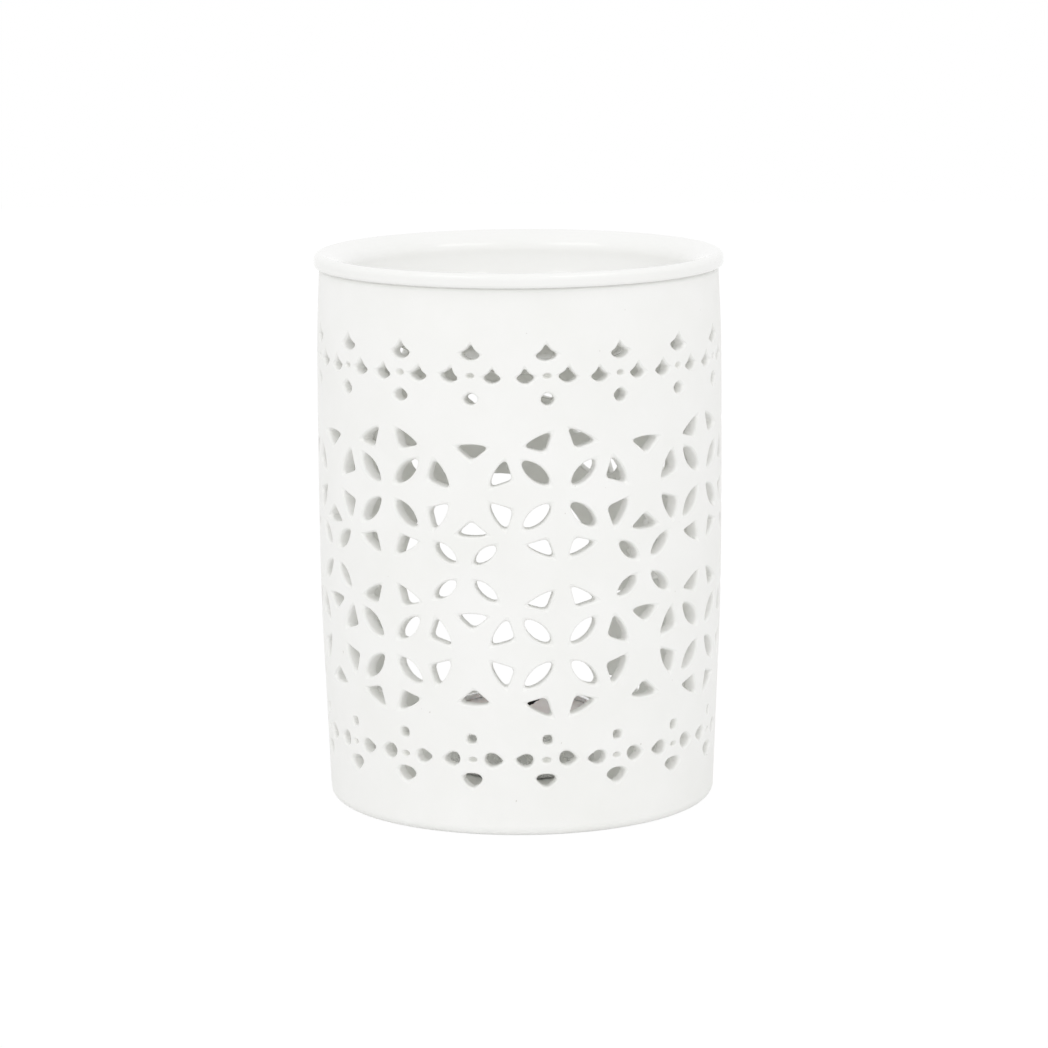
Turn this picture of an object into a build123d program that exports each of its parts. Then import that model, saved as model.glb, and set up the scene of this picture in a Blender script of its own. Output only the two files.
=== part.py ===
"""An essential oil burner: a pierced porcelain body, a lift-off oil dish and a tealight.

Millimetres. The origin is the centre of the foot, +Z is up and the front faces -Y.
"""
import os
from math import cos, degrees, hypot, radians, sin

from build123d import *

os.makedirs("parts", exist_ok=True)

# Body: a slightly barrelled wall on a recessed floor
body_height = 137.0
body_radius = 51.5
foot_draw = 2.2
lower_ring_draw = 1.0
mouth_draw = 0.9
wall = 3.5
floor_thickness = 5.0
foot_recess = 1.5
foot_ring_width = 5.0
foot_rounding = 2.5
mouth_rounding = 1.0
ring_height_shares = (0.208, 0.485, 0.766)

# Rear opening that the tealight goes in by: a round arch above a sill
arch_width = 51.8
arch_height = 60.0
arch_sill_rise = 9.5
arch_corner_radius = 5.0
arch_angle = 188.5
arch_margin = 2.2

# Pierced lattice: two rows of round motifs, with cusps and sprigs between them
lattice_count = 7
lattice_angle = 11.2
row_height_shares = (0.341, 0.630)
motif_width = 36.8
motif_height = 33.4
cusp_width = 10.2
cusp_height = 4.3
cusp_outer_rise = 12.6
cusp_inner_rise = 9.8
sprig_height_share = 0.488
sprig_width = 17.8
sprig_height = 15.8

# Each outline goes round its hole: a corner as shares of half the motif's width and height, then
# the bow to the left of the side that follows it, as a share of half the motif's width
petal_shares = ((0.087, 0.084, 0.128), (0.549, 0.557, 0.128))
crown_shares = ((0.075, 1.0, 0.035), (0.55, 0.725, 0), (0.19, 0.615, 0))
flank_shares = ((1.0, 0.065, -0.055), (0.735, 0.585, 0), (0.615, 0.2, 0))
cusp_shares = ((-1.0, 0, 0), (0, -1.0, 0), (1.0, 0, -0.15))
sprig_shares = ((0.135, 0.165, 0.225), (1.0, 1.0, 0.225))

# Two bands of small diamonds, four round each shallow dimple
band_count = 17
band_angles = (7.0, 7.5)
band_height_shares = (0.143, 0.844)
diamond_width = 6.2
diamond_height = 5.0
diamond_bow_share = 0.05
diamond_side_step = 5.45
diamond_rises = (5.2, 5.6)
dimple_radius = 1.2
dimple_depth = 0.6

# Oil dish: a bowl that hangs in the mouth by its rolled rim
bowl_clearance = 1.0
bowl_depth = 27.4
bowl_collar = 1.5
dish_wall = 3.0
rim_overhang = 1.4
rim_thickness = 3.6
rim_rounding = 1.7
rim_crest_width = 2.0
rim_dip = 1.5
bowl_lip_rounding = 2.5
bowl_reach_share = 0.5
bowl_swell_share = 0.47

# Tealight: an aluminium cup of wax round a wick that stands in a pressed foot
cup_radius = 18.6
cup_height = 16.0
cup_wall = 0.4
cup_corner_radius = 2.6
cup_bead = 0.5
wax_below_rim = 1.5
wax_clearance = 0.1
melt_radius = 7.0
melt_depth = 0.8
wick_radius = 0.9
wick_stand = 0.6
wick_bend_radius = 3.0
wick_bend_angle = 50.0
wick_tip_length = 4.0
sustainer_radius = 6.0
sustainer_thickness = 0.4
sustainer_collar_wall = 0.5
sustainer_collar_height = 3.2

# How far a cut runs past the face that it leaves
cut_overrun = 2.0

# Heights and radii that follow from the sizes above
foot_radius = body_radius - foot_draw
lower_ring_radius = body_radius - lower_ring_draw
mouth_radius = body_radius - mouth_draw
floor_top = foot_recess + floor_thickness
ring_heights = [share * body_height for share in ring_height_shares]
arch_sill = floor_top + arch_sill_rise
arch_radius = arch_width / 2
arch_spring = arch_sill + arch_height - arch_radius


def wall_tool(corners, bows):
    """A straight cutter through the front of the wall, each side of its outline bowed by its own amount."""
    with BuildPart() as tool:
        with BuildSketch(Plane.XZ.offset(foot_radius - wall - cut_overrun)):
            with BuildLine():
                for start, end, bow in zip(corners, corners[1:] + corners[:1], bows):
                    if bow:
                        SagittaArc(start, end, bow)
                    else:
                        Line(start, end)
            make_face()
        extrude(amount=foot_draw + wall + 2 * cut_overrun)
    return tool.part


def mirrored_holes(outline_shares, width, height, signs):
    """One outline in each wanted quarter of a motif: its corners, then its bows."""
    holes = []
    for side, rise in signs:
        corners = [(side * x * width / 2, rise * y * height / 2) for x, y, bow in outline_shares]
        bows = [side * rise * bow * width / 2 for x, y, bow in outline_shares]
        holes.append((corners, bows))
    return holes


def clear_of_arch(corners, angle, height):
    """True if a hole keeps its margin from the rear opening."""
    for x, y in corners:
        turn = radians(angle - arch_angle) + x / body_radius
        across = abs(body_radius * sin(turn))
        level = height + y
        if cos(turn) < 0 or across > arch_radius + arch_margin or level < arch_sill - arch_margin:
            continue
        if level < arch_spring or hypot(across, level - arch_spring) < arch_radius + arch_margin:
            return False
    return True


def holes_on_wall(holes, angles, height):
    """Turned copies of a motif's holes at each angle, with none too near the rear opening."""
    copies = []
    for corners, bows in holes:
        middle = sum(x for x, y in corners) / len(corners)
        centred = [(x - middle, y) for x, y in corners]
        tool = wall_tool(centred, bows)
        for angle in angles:
            turn = angle + degrees(middle / body_radius)
            if clear_of_arch(centred, turn, height):
                copies.append(tool.moved(Location((0, 0, height), (0, 0, turn))))
    return copies


def lattice_tools():
    """Every cutter of the two rows of motifs and of what lies between them."""
    quarters = [(1, 1), (-1, 1), (-1, -1), (1, -1)]
    pitch = 360 / lattice_count
    motif_angles = [lattice_angle + turn * pitch for turn in range(lattice_count)]
    between_angles = [angle + pitch / 2 for angle in motif_angles]
    tools = []
    for share, outer in zip(row_height_shares, (-1, 1)):
        height = share * body_height
        for outline_shares in (petal_shares, crown_shares, flank_shares):
            holes = mirrored_holes(outline_shares, motif_width, motif_height, quarters)
            tools += holes_on_wall(holes, motif_angles, height)
        for rise, upward in ((outer * cusp_outer_rise, outer), (-outer * cusp_inner_rise, -outer)):
            cusp = mirrored_holes(cusp_shares, cusp_width, 2 * cusp_height, [(1, upward)])
            tools += holes_on_wall(cusp, between_angles, height + rise)
    sprigs = mirrored_holes(sprig_shares, sprig_width, sprig_height, quarters)
    tools += holes_on_wall(sprigs, between_angles, sprig_height_share * body_height)
    return tools


def band_tools():
    """Every diamond of the two bands, four round each centre."""
    half_width = diamond_width / 2
    half_height = diamond_height / 2
    corners = [(half_width, 0), (0, half_height), (-half_width, 0), (0, -half_height)]
    bows = [diamond_bow_share * half_width] * len(corners)
    tools = []
    for band_angle, share, rise in zip(band_angles, band_height_shares, diamond_rises):
        height = share * body_height
        angles = [band_angle + turn * 360 / band_count for turn in range(band_count)]
        side_turn = degrees(diamond_side_step / body_radius)
        side_angles = [angle + side * side_turn for angle in angles for side in (-1, 1)]
        diamond = [(corners, bows)]
        tools += holes_on_wall(diamond, side_angles, height)
        tools += holes_on_wall(diamond, angles, height + rise)
        tools += holes_on_wall(diamond, angles, height - rise)
    return tools


def wall_radius_at(share):
    """The wall's outer radius at a share of the body's height."""
    shares = (0, *ring_height_shares, 1)
    radii = (foot_radius, lower_ring_radius, body_radius, body_radius, mouth_radius)
    spans = zip(shares, shares[1:], radii, radii[1:])
    low, high, start, end = next(span for span in spans if share <= span[1])
    return start + (end - start) * (share - low) / (high - low)


def dimple_tools():
    """A ball for each shallow dimple, sunk to its depth in the wall at its own height."""
    ball_radius = (dimple_radius ** 2 + dimple_depth ** 2) / (2 * dimple_depth)
    dimple = [(side * dimple_radius, 0) for side in (-1, 1)]
    tools = []
    for band_angle, share in zip(band_angles, band_height_shares):
        height = share * body_height
        reach = wall_radius_at(share) + ball_radius - dimple_depth
        with BuildPart(Plane(origin=(0, -reach, 0))) as ball:
            Sphere(ball_radius)
        for turn in range(band_count):
            angle = band_angle + turn * 360 / band_count
            if clear_of_arch(dimple, angle, height):
                tools.append(ball.part.moved(Location((0, 0, height), (0, 0, angle))))
    return tools


arch_plane = Plane(
    origin=(0, 0, 0),
    x_dir=(cos(radians(arch_angle)), sin(radians(arch_angle)), 0),
    z_dir=(sin(radians(arch_angle)), -cos(radians(arch_angle)), 0),
)

wall_tools = lattice_tools() + band_tools() + dimple_tools()

# Burner body
with BuildPart() as burner_body:
    with BuildSketch(Plane.XZ):
        with BuildLine():
            Polyline(
                (0, foot_recess),
                (foot_radius - foot_ring_width, foot_recess),
                (foot_radius - foot_ring_width, 0),
                (foot_radius, 0),
                (lower_ring_radius, ring_heights[0]),
                (body_radius, ring_heights[1]),
                (body_radius, ring_heights[2]),
                (mouth_radius, body_height),
                (mouth_radius - wall, body_height),
                (body_radius - wall, ring_heights[2]),
                (body_radius - wall, ring_heights[1]),
                (lower_ring_radius - wall, ring_heights[0]),
                (foot_radius - wall, floor_top),
                (0, floor_top),
                close=True,
            )
        make_face()
    revolve(axis=Axis.Z)
    foot_edge = burner_body.edges().filter_by(GeomType.CIRCLE).group_by(Axis.Z)[0].sort_by(SortBy.RADIUS)[-1]
    fillet(foot_edge, foot_rounding)
    mouth_edges = burner_body.edges().filter_by(GeomType.CIRCLE).group_by(Axis.Z)[-1]
    fillet(mouth_edges, mouth_rounding)
    with BuildSketch(arch_plane) as arch_outline:
        with BuildLine():
            arch_top = CenterArc((0, arch_spring), arch_radius, 0, 180)
            Polyline(arch_top @ 1, (-arch_radius, arch_sill), (arch_radius, arch_sill), arch_top @ 0)
        make_face()
        fillet(arch_outline.vertices().group_by(Axis.Y)[0], arch_corner_radius)
    extrude(amount=body_radius + cut_overrun, mode=Mode.SUBTRACT)
    add(wall_tools, clean=False, mode=Mode.SUBTRACT)
burner_body.part.label = "burner_body"
export_step(burner_body.part, "parts/burner_body.step")

# Oil dish
seat_height = body_height
dish_radius = mouth_radius + rim_overhang
bowl_radius = mouth_radius - wall - bowl_clearance
bowl_inner_radius = bowl_radius - dish_wall
dish_top = seat_height + rim_thickness
bowl_base = seat_height - bowl_depth


def bowl_curve(radius, base, top):
    """The corner points of a curve from a bowl's lowest point to its upright side."""
    return [
        (0, base),
        (bowl_reach_share * radius, base),
        (radius, base + bowl_swell_share * (top - base)),
        (radius, top),
    ]


with BuildPart() as oil_dish:
    with BuildSketch(Plane.XZ) as dish_section:
        with BuildLine():
            Bezier(*bowl_curve(bowl_radius, bowl_base, seat_height - bowl_collar))
            Polyline(
                (bowl_radius, seat_height - bowl_collar),
                (bowl_radius, seat_height),
                (dish_radius, seat_height),
                (dish_radius, dish_top),
                (dish_radius - rim_crest_width, dish_top),
                (bowl_inner_radius, dish_top - rim_dip),
            )
            Bezier(*bowl_curve(bowl_inner_radius, bowl_base + dish_wall, dish_top - rim_dip))
            Line((0, bowl_base + dish_wall), (0, bowl_base))
        make_face()
        fillet(dish_section.vertices().group_by(Axis.X)[-1], rim_rounding)
        bowl_lip = (bowl_inner_radius, dish_top - rim_dip)
        fillet(dish_section.vertices().sort_by_distance(bowl_lip)[0], bowl_lip_rounding)
    revolve(axis=Axis.Z)
oil_dish.part.label = "oil_dish"
export_step(oil_dish.part, "parts/oil_dish.step")

# Tealight cup, standing on the floor of the body
cup_floor = floor_top + cup_wall
cup_rim = floor_top + cup_height
with BuildPart(Plane.XY.offset(floor_top)) as tealight_cup:
    Cylinder(cup_radius, cup_height, align=(Align.CENTER, Align.CENTER, Align.MIN))
    fillet(tealight_cup.edges().group_by(Axis.Z)[0], cup_corner_radius)
    offset(amount=-cup_wall, openings=tealight_cup.faces().sort_by(Axis.Z)[-1])
    with Locations((0, 0, cup_height - cup_bead)):
        Torus(cup_radius, cup_bead)
tealight_cup.part.label = "tealight_cup"
export_step(tealight_cup.part, "parts/tealight_cup.step")

# Wick sustainer, a pressed disc with a collar that grips the wick
collar_bore = wick_radius + wax_clearance
collar_radius = collar_bore + sustainer_collar_wall
with BuildPart(Plane.XY.offset(cup_floor)) as wick_sustainer:
    Cylinder(sustainer_radius, sustainer_thickness, align=(Align.CENTER, Align.CENTER, Align.MIN))
    Cylinder(collar_radius, sustainer_collar_height, align=(Align.CENTER, Align.CENTER, Align.MIN))
    with BuildSketch(Plane.XY.offset(cup_floor + sustainer_thickness)):
        Circle(collar_bore)
    extrude(amount=sustainer_collar_height, mode=Mode.SUBTRACT)
wick_sustainer.part.label = "wick_sustainer"
export_step(wick_sustainer.part, "parts/wick_sustainer.step")

# Wick, upright in the wax and bent over above it
wax_top = cup_rim - wax_below_rim
wick_base = cup_floor + sustainer_thickness
melt_floor = wax_top - melt_depth
with BuildPart() as tealight_wick:
    with BuildLine(Plane.XZ) as wick_path:
        wick_stem = Line((0, wick_base), (0, wax_top + wick_stand))
        wick_curve = JernArc(wick_stem @ 1, wick_stem % 1, wick_bend_radius, -wick_bend_angle)
        Line(wick_curve @ 1, wick_curve @ 1 + wick_tip_length * (wick_curve % 1))
    with BuildSketch(Plane.XY.offset(wick_base)):
        Circle(wick_radius)
    sweep()
tealight_wick.part.label = "tealight_wick"
export_step(tealight_wick.part, "parts/tealight_wick.step")

# Wax, cast round the sustainer and the wick, with a shallow melt hollow
melt_ball_radius = (melt_radius ** 2 + melt_depth ** 2) / (2 * melt_depth)
with BuildPart(Plane.XY.offset(cup_floor)) as tealight_wax:
    Cylinder(
        cup_radius - cup_wall - wax_clearance,
        wax_top - cup_floor,
        align=(Align.CENTER, Align.CENTER, Align.MIN),
    )
    fillet(tealight_wax.edges().group_by(Axis.Z)[0], cup_corner_radius - cup_wall)
    with Locations((0, 0, melt_floor - cup_floor + melt_ball_radius)):
        Sphere(melt_ball_radius, mode=Mode.SUBTRACT)
    with BuildSketch(Plane.XY.offset(cup_floor)):
        Circle(sustainer_radius + wax_clearance)
    extrude(amount=sustainer_thickness + wax_clearance, mode=Mode.SUBTRACT)
    with BuildSketch(Plane.XY.offset(cup_floor)):
        Circle(collar_radius + wax_clearance)
    extrude(amount=sustainer_collar_height + wax_clearance, mode=Mode.SUBTRACT)
    with BuildSketch(Plane.XY.offset(cup_floor)):
        Circle(wick_radius + wax_clearance)
    extrude(amount=cup_height, mode=Mode.SUBTRACT)
tealight_wax.part.label = "tealight_wax"
export_step(tealight_wax.part, "parts/tealight_wax.step")
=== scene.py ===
"""The looks of an essential oil burner: a pierced bisque body, a glazed dish and a tealight.

Metres, in the frame of the CAD model. Angles round the body start at the front, -Y, and grow towards +X.
"""
import random
from math import asin, ceil, cos, degrees, hypot, pi, radians, sin, sqrt

import bpy
from mathutils import Matrix, Vector
from mathutils.geometry import delaunay_2d_cdt


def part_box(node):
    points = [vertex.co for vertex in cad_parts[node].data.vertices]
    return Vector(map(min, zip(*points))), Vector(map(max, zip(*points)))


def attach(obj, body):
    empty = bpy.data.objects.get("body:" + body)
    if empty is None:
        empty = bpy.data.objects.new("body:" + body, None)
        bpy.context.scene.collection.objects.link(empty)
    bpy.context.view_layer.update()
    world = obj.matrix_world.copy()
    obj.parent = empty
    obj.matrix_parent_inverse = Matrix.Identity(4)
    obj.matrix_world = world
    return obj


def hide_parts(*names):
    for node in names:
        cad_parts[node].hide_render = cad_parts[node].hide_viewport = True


MM = 0.001
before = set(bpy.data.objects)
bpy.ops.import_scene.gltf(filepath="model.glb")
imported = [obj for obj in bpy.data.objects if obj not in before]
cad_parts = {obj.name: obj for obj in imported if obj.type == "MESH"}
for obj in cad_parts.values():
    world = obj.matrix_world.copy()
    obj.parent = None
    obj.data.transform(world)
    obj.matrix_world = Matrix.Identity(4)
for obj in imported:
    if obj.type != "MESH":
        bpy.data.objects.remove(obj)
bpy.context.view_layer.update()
body_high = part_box("burner_body")[1]
dish_low, dish_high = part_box("oil_dish")
cup_low, cup_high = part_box("tealight_cup")
wax_low, wax_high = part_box("tealight_wax")


# Camera, as the photograph was taken
image_size = 1048
focal_pixels = 4072.9
sensor_width = 36.0
camera_place = Vector((0, -1029.2, 256.4)) * MM
camera_pitch = radians(10.267)
camera_yaw = radians(0.05)
camera_roll = radians(0.39)
clip_near = 0.05
clip_far = 50


def add_camera():
    data = bpy.data.cameras.new("camera")
    data.sensor_width = sensor_width
    data.lens = sensor_width * focal_pixels / image_size
    data.clip_start = clip_near
    data.clip_end = clip_far
    camera = bpy.data.objects.new("camera", data)
    bpy.context.scene.collection.objects.link(camera)
    ahead = Vector((
        sin(camera_yaw) * cos(camera_pitch),
        cos(camera_yaw) * cos(camera_pitch),
        -sin(camera_pitch),
    ))
    right = ahead.cross(Vector((0, 0, 1))).normalized()
    down = ahead.cross(right)
    rolled_right = cos(camera_roll) * right + sin(camera_roll) * down
    rolled_down = -sin(camera_roll) * right + cos(camera_roll) * down
    camera.matrix_world = Matrix.Translation(camera_place) @ Matrix(
        (rolled_right, -rolled_down, -ahead)
    ).transposed().to_4x4()
    bpy.context.scene.camera = camera


# Body: its barrelled wall, as heights and outer radii
body_height = body_high.z
wall_profile = [
    (0, 49.34 * MM), (25 * MM, 50.31 * MM), (49 * MM, 51.2 * MM), (74 * MM, 51.5 * MM),
    (99 * MM, 51.5 * MM), (121 * MM, 51.3 * MM), (body_height, 50.6 * MM),
]
wall = 3.5 * MM
floor_top = 6.5 * MM
foot_recess = 1.5 * MM
foot_ring_width = 5 * MM
foot_ring_edge = 0.6 * MM
foot_rounding = 2.5 * MM
mouth_rounding = 1.3 * MM
floor_cove = 2.0 * MM
floor_blend_top = 11 * MM
mean_radius = 51.5 * MM
around_count = 288

# Rear arch
arch_half_width = 26.3 * MM
arch_sill = 16.0 * MM
arch_spring = 49.3 * MM
arch_corner = 5.0 * MM
arch_angle = 188.1
arch_margin = 2.2 * MM
arch_head_steps = 48
arch_side_steps = 14
arch_corner_steps = 8
arch_sill_steps = 18

# The arch's straight sides stand further out at the wall's inner face, so the wall's mesh keeps this clear
bare_margin = 3.6 * MM

# Pierced lattice and bands, as corner shares of half a motif and the bow of the side that follows
lattice_count = 7
lattice_angle = 11.2
row_heights = (46.7 * MM, 86.3 * MM)
motif_half = (18.4 * MM, 16.7 * MM)
petal = ((0.087, 0.084, 0.128), (0.549, 0.557, 0.128))
crown = ((0.075, 1.0, 0.035), (0.55, 0.725, 0), (0.19, 0.615, 0))
flank = ((1.0, 0.065, -0.055), (0.735, 0.585, 0), (0.615, 0.2, 0))
cusp_half = (5.1 * MM, 4.3 * MM)
cusp = ((-1.0, 0, 0), (0, -1.0, 0), (1.0, 0, -0.15))
cusp_outer_rise = 12.6 * MM
cusp_inner_rise = 9.8 * MM
sprig_height = 66.9 * MM
sprig_half = (8.9 * MM, 7.9 * MM)
sprig = ((0.135, 0.165, 0.225), (1.0, 1.0, 0.225))
band_count = 17
band_angles = (7.0, 7.5)
band_heights = (19.6 * MM, 115.6 * MM)
diamond_half = (3.1 * MM, 2.5 * MM)
diamond_flare = 0.5 * MM
diamond_side_step = 5.45 * MM
diamond_rises = (5.2 * MM, 5.6 * MM)
dimple_half = (1.5 * MM, 1.05 * MM)
dimple_depth = 2.2 * MM
dimple_range = (0.9, 1.1)
dimple_spokes = 20

# Throats at the top, the sides and the bottom of a group of four, in each band
pinprick = ((0.44, 0, -0.1), (0, 0.52, -0.1), (-0.44, 0, -0.1), (0, -0.52, -0.1))
drop = ((0.9, -0.05, -0.02), (-0.05, 0.8, -0.12), (-0.8, 0.05, -0.12), (-0.05, -0.88, -0.02))
dome = ((1.02, 0.12, -0.12), (0, 0.74, -0.12), (-1.02, 0.12, -0.02), (0, -0.98, -0.02))
spade = ((1.02, -0.16, 0.19), (0, 1.08, 0.19), (-1.02, -0.16, -0.06), (0, -0.9, -0.06))
small_spade = ((0.9, -0.14, 0.16), (0, 1.0, 0.16), (-0.9, -0.14, -0.03), (0, -0.86, -0.03))
pebble = ((0.7, 0, -0.03), (0, 0.74, -0.03), (-0.7, 0, -0.06), (0, -0.74, -0.06))
diamond_throats = ((pinprick, drop, dome), (spade, small_spade, pebble))

# How far the motifs, and the cusps and sprigs between them, stand off an even spacing, in degrees,
# and how far each motif of the two rows sits below its row
motif_slips = (0, 0, 0, 0, 2.6, 1.3, 0.6)
cusp_slips = (0, 0, 0, 1.3, 2.0, 1.0, 1.1)
sprig_slips = (0, 0, 0, 1.3, 2.0, 1.0, -0.9)
motif_drops = (
    (0, 0, 0, 0, 0, 0, 0.25 * MM),
    (0, 0.3 * MM, 1.0 * MM, 2.0 * MM, 2.0 * MM, 1.0 * MM, 0.5 * MM),
)

# Edges of the holes: a soft mouth with sharp tips that leads in to a throat with round ones
rim_cut = 0.5 * MM
throat_cut = 1.9 * MM
throat_inset = 0.45 * MM
arch_inset = 0.4 * MM
mouth_depth = 1.0 * MM
inner_softness = 0.3 * MM
inner_turns = (90, 40)
cut_share = 0.3
flared_cut_share = 0.4
tip_flare_share = 0.7
outline_step = 0.6 * MM
corner_steps = 6
axis_reach = 1e-7

# How a mouth and a dimple deepen: shares of the way in, and of the depth that is reached there
mouth_shares = ((0.08, 0.03), (0.38, 0.14), (0.72, 0.34), (0.93, 0.62), (1.0, 1.0))
dimple_shares = (
    (0.12, 0.01), (0.26, 0.07), (0.38, 0.24), (0.46, 0.5), (0.54, 0.76), (0.66, 0.94), (0.84, 1.0),
)

# Spacing of the wall's own mesh points: across, up, and from an outline
surface_step = 2.3 * MM
row_share = 0.87
keep_away_share = 0.55

# How far a hole may be off its place, its turn in degrees and its size, as standard deviations
hand_shift = 0.1 * MM
hand_turn = 1.0
hand_growth = 0.012
throat_turn = 5.0

# How unevenly a throat is drawn in, a rim flared out and a corner pulled, as shares of the plain size
corner_range = (0.75, 1.25)
side_range = (0.8, 1.2)
pull_range = (0.88, 1.04)

# The mesh is opened along a line that crosses no hole: angle and height, from the foot to the mouth
seam = ((59.9, 0), (59.9, 23 * MM), (62.63, 28 * MM), (62.63, 104 * MM), (60.4, 110 * MM), (60.4, 1))


def along(points, value):
    """The smooth curve through rising points, read at a value."""
    last = len(points) - 2
    span = next((i for i in range(last) if value < points[i + 1][0]), last)
    (x1, y1), (x2, y2) = points[span], points[span + 1]
    before = points[max(span - 1, 0)]
    after = points[min(span + 2, last + 1)]
    slope1 = (y2 - before[1]) / (x2 - before[0])
    slope2 = (after[1] - y1) / (after[0] - x1)
    width = x2 - x1
    t = (value - x1) / width
    return (
        (2 * t**3 - 3 * t**2 + 1) * y1 + (t**3 - 2 * t**2 + t) * width * slope1
        + (3 * t**2 - 2 * t**3) * y2 + (t**3 - t**2) * width * slope2
    )


def straight(points, value):
    """The straight-sided line through rising points, read at a value."""
    for (x1, y1), (x2, y2) in zip(points, points[1:]):
        if value <= x2:
            return y1 + (y2 - y1) * (value - x1) / (x2 - x1)
    return points[-1][1]


def wall_radius(height):
    return along(wall_profile, height)


def wall_slope(height):
    step = 0.5 * MM
    return (wall_radius(height + step) - wall_radius(height - step)) / (2 * step)


def outward(angle):
    return Vector((sin(angle), -cos(angle), 0))


def tangent(angle):
    return Vector((cos(angle), sin(angle), 0))


def wall_place(angle, reach, x, z):
    """A place beside the line straight out from the axis at an angle."""
    return outward(angle) * reach + tangent(angle) * x + Vector((0, 0, z))


def side_points(start, end, bow):
    """A side's length, and its points by share: from its start to its end, bowed to the left."""
    run = (end[0] - start[0], end[1] - start[1])
    length = hypot(*run)
    left = (-run[1] / length, run[0] / length)
    return length, lambda t: (
        start[0] + run[0] * t + 4 * bow * t * (1 - t) * left[0],
        start[1] + run[1] * t + 4 * bow * t * (1 - t) * left[1],
    )


def side_list(corners, bows):
    count = len(corners)
    return [side_points(corners[i], corners[(i + 1) % count], bows[i]) for i in range(count)]


def rounded_outline(corners, bows, cut, cut_share, steps):
    """A closed outline of bowed sides, each in its own number of steps, with its corners rounded off."""
    sides = side_list(corners, bows)
    points = []
    for i, (length, place) in enumerate(sides):
        share = min(cut / length, cut_share)
        points += [place(share + (1 - 2 * share) * k / steps[i]) for k in range(steps[i] + 1)]
        next_length, next_place = sides[(i + 1) % len(sides)]
        a = place(1 - share)
        b = next_place(min(cut / next_length, cut_share))
        c = corners[(i + 1) % len(sides)]
        for k in range(1, corner_steps):
            t = k / corner_steps
            weights = ((1 - t) ** 2, 2 * t * (1 - t), t * t)
            points.append(tuple(sum(w * p[n] for w, p in zip(weights, (a, c, b))) for n in (0, 1)))
    return points


def inset_corners(corners, bows, corner_insets, side_insets):
    """The corners and bows of an outline drawn in from a counterclockwise one."""
    sides = side_list(corners, bows)
    moved = []
    for i, corner in enumerate(corners):
        along_last, along_next = sides[i - 1][1], sides[i][1]
        ends = ((along_last(0.98), along_last(1)), (along_next(0), along_next(0.02)))
        normals = []
        for a, b in ends:
            length = hypot(b[0] - a[0], b[1] - a[1])
            normals.append(((a[1] - b[1]) / length, (b[0] - a[0]) / length))
        spread_out = 1 + normals[0][0] * normals[1][0] + normals[0][1] * normals[1][1]
        pull = corner_insets[i] / max(spread_out, 0.35)
        moved.append(tuple(corner[n] + pull * (normals[0][n] + normals[1][n]) for n in (0, 1)))
    new_bows = []
    for i, (length, place) in enumerate(sides):
        start, end = moved[i], moved[(i + 1) % len(moved)]
        run = (end[0] - start[0], end[1] - start[1])
        span = hypot(*run)
        left = (-run[1] / span, run[0] / span)
        middle = place(0.5)
        rise = sum((middle[n] - (start[n] + end[n]) / 2) * left[n] for n in (0, 1))
        new_bows.append(rise + side_insets[i])
    return moved, new_bows


def counterclockwise(corners, bows):
    """The same outline, run counterclockwise."""
    points = [place(k / 4) for length, place in side_list(corners, bows) for k in range(4)]
    area = sum(a[0] * b[1] - b[0] * a[1] for a, b in zip(points, points[1:] + points[:1]))
    if area > 0:
        return corners, bows
    return corners[::-1], [-bow for bow in bows[-2::-1] + bows[-1:]]


class Hole:
    """One hole: the rim of its soft mouth and its throat, in a plane that touches the wall at an angle."""

    def __init__(self, rim, throat, angle, height):
        self.rim = rim
        self.throat = throat
        self.angle = angle
        self.height = height

    def front_place(self, i, share, depth):
        """From the rim to the throat, at a depth below the face."""
        x = self.rim[i][0] + (self.throat[i][0] - self.rim[i][0]) * share
        z = self.height + self.rim[i][1] + (self.throat[i][1] - self.rim[i][1]) * share
        reach = sqrt(wall_radius(z) ** 2 - x * x) - depth
        return wall_place(self.angle, reach, x, z)

    def back_place(self, i, growth, depth):
        """The throat grown by a width, at a depth below the inner face."""
        before, after = self.throat[i - 1], self.throat[(i + 1) % len(self.throat)]
        run = (after[0] - before[0], after[1] - before[1])
        length = hypot(*run)
        x = self.throat[i][0] + growth * run[1] / length
        z = self.height + self.throat[i][1] - growth * run[0] / length
        reach = sqrt((wall_radius(z) - wall) ** 2 - x * x) + depth
        return wall_place(self.angle, reach, x, z)

    def flat_place(self, i):
        """The rim's point on the unrolled wall."""
        x, z = self.rim[i][0], self.height + self.rim[i][1]
        return (self.angle + asin(x / wall_radius(z))) * mean_radius, z


def clear_of_arch(corners, angle, height):
    """True if a hole keeps its margin from the rear arch."""
    for x, z in corners:
        turn = angle - radians(arch_angle) + x / mean_radius
        across = abs(mean_radius * sin(turn))
        level = height + z
        if cos(turn) < 0 or across > arch_half_width + arch_margin or level < arch_sill - arch_margin:
            continue
        if level < arch_spring or hypot(across, level - arch_spring) < arch_half_width + arch_margin:
            return False
    return True


def turned(corners, angle, growth, shift):
    """Corners turned and grown about the outline's centre, then shifted."""
    return [
        (
            growth * (x * cos(angle) - z * sin(angle)) + shift[0],
            growth * (x * sin(angle) + z * cos(angle)) + shift[1],
        )
        for x, z in corners
    ]


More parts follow.
